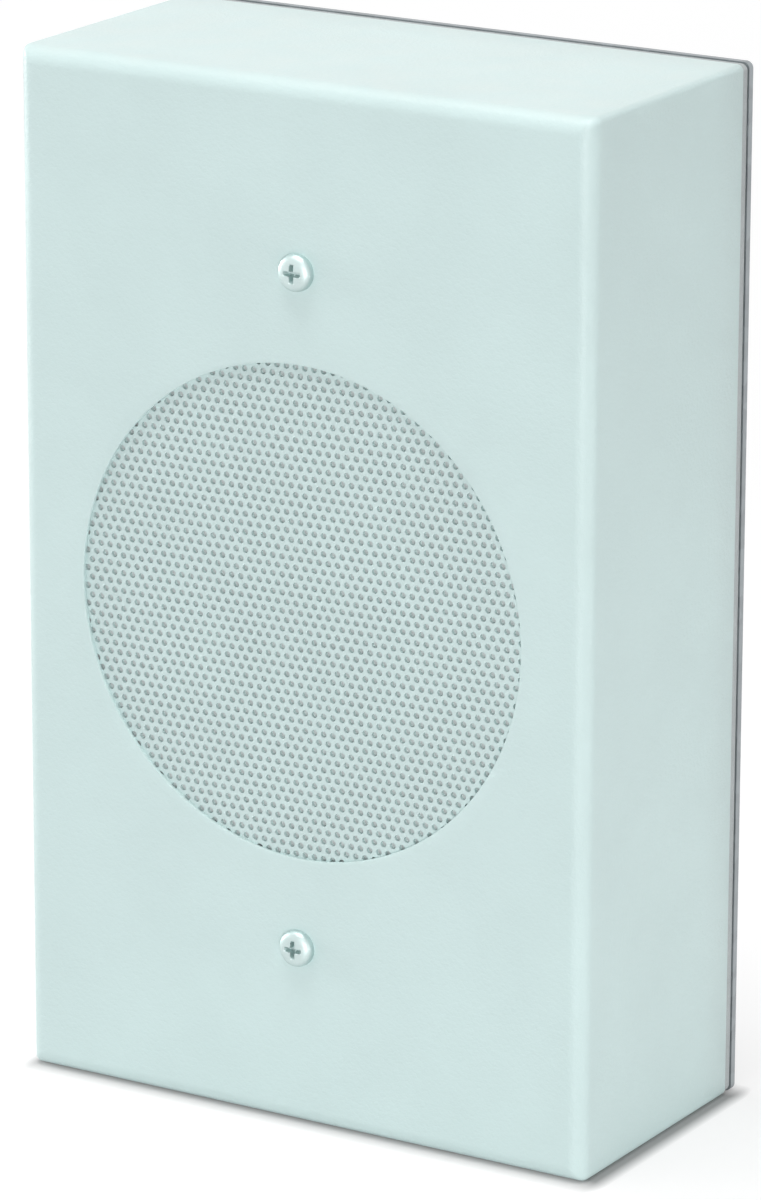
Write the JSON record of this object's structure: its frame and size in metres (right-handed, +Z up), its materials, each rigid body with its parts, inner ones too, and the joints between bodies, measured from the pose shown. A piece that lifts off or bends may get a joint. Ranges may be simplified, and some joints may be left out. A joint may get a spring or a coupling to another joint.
{
  "type": "public address wall speaker",
  "caption": "Flat painted steel wall speaker with a round perforated grille, two front screws, a sealed back plate, a cone driver and a line transformer.",
  "frame": {"origin": "centre of the back plate's rear face, on the wall plane", "axes": "+X to the right of the front, +Y into the wall, +Z up"},
  "size_m": [0.165, 0.083, 0.27],
  "materials": {
    "cover_paint": "satin",
    "grille_paint": "satin",
    "screw_plating": "satin",
    "zinc_plate": "satin",
    "seal_foam": "matte",
    "dust_cloth": "matte",
    "plated_hardware": "satin",
    "frame_steel": "satin",
    "edge_cloth": "matte",
    "cone_paper": "matte",
    "former_paper": "matte",
    "copper_wire": "satin",
    "spider_cloth": "matte",
    "motor_iron": "satin",
    "ferrite": "matte",
    "strip_board": "matte",
    "brass": "satin",
    "tinsel": "satin",
    "core_steel": "satin",
    "bobbin_plastic": "matte",
    "coil_tape": "satin",
    "block_ceramic": "satin",
    "grommet_rubber": "matte",
    "lead_jacket": "satin",
    "tap_jacket": "satin"
  },
  "bodies": {
    "cabinet": {"front_cover": "cover_paint", "grille_disc": "grille_paint", "dust_cloth": "dust_cloth", "baffle_gasket": "seal_foam", "driver_studs": "plated_hardware", "driver_nuts": "plated_hardware", "rear_seal": "seal_foam", "back_plate": "zinc_plate", "cable_grommet": "grommet_rubber", "cover_pillar_top": "plated_hardware", "cover_screw_top": "screw_plating", "cover_pillar_bottom": "plated_hardware", "cover_screw_bottom": "screw_plating", "driver_basket": "frame_steel", "surround": "edge_cloth", "spider": "spider_cloth", "top_plate": "motor_iron", "magnet_ring": "ferrite", "yoke": "motor_iron", "terminal_strip": "strip_board", "solder_lugs": "brass", "strip_rivet": "brass", "tinsel_leads": "tinsel", "transformer_core": "core_steel", "transformer_bobbin": "bobbin_plastic", "transformer_winding": "coil_tape", "transformer_bracket": "plated_hardware", "transformer_studs": "plated_hardware", "transformer_nuts": "plated_hardware", "terminal_block": "block_ceramic", "terminal_inserts": "brass", "terminal_screws": "plated_hardware", "block_screws": "plated_hardware", "earth_stud": "plated_hardware", "earth_nut": "plated_hardware", "speaker_leads": "lead_jacket", "tap_leads": "tap_jacket"},
    "moving_cone": {"cone": "cone_paper", "dust_cap": "cone_paper", "coil_former": "former_paper", "coil_winding": "copper_wire"}
  },
  "joints": [
    {"name": "cone_travel", "type": "slide", "parent": "cabinet", "child": "moving_cone", "axis": [0, -1, 0], "range_m": [-0.002, 0.002], "stiffness_N_per_m": 2500, "deforming": ["surround", "spider", "tinsel_leads"]}
  ]
}
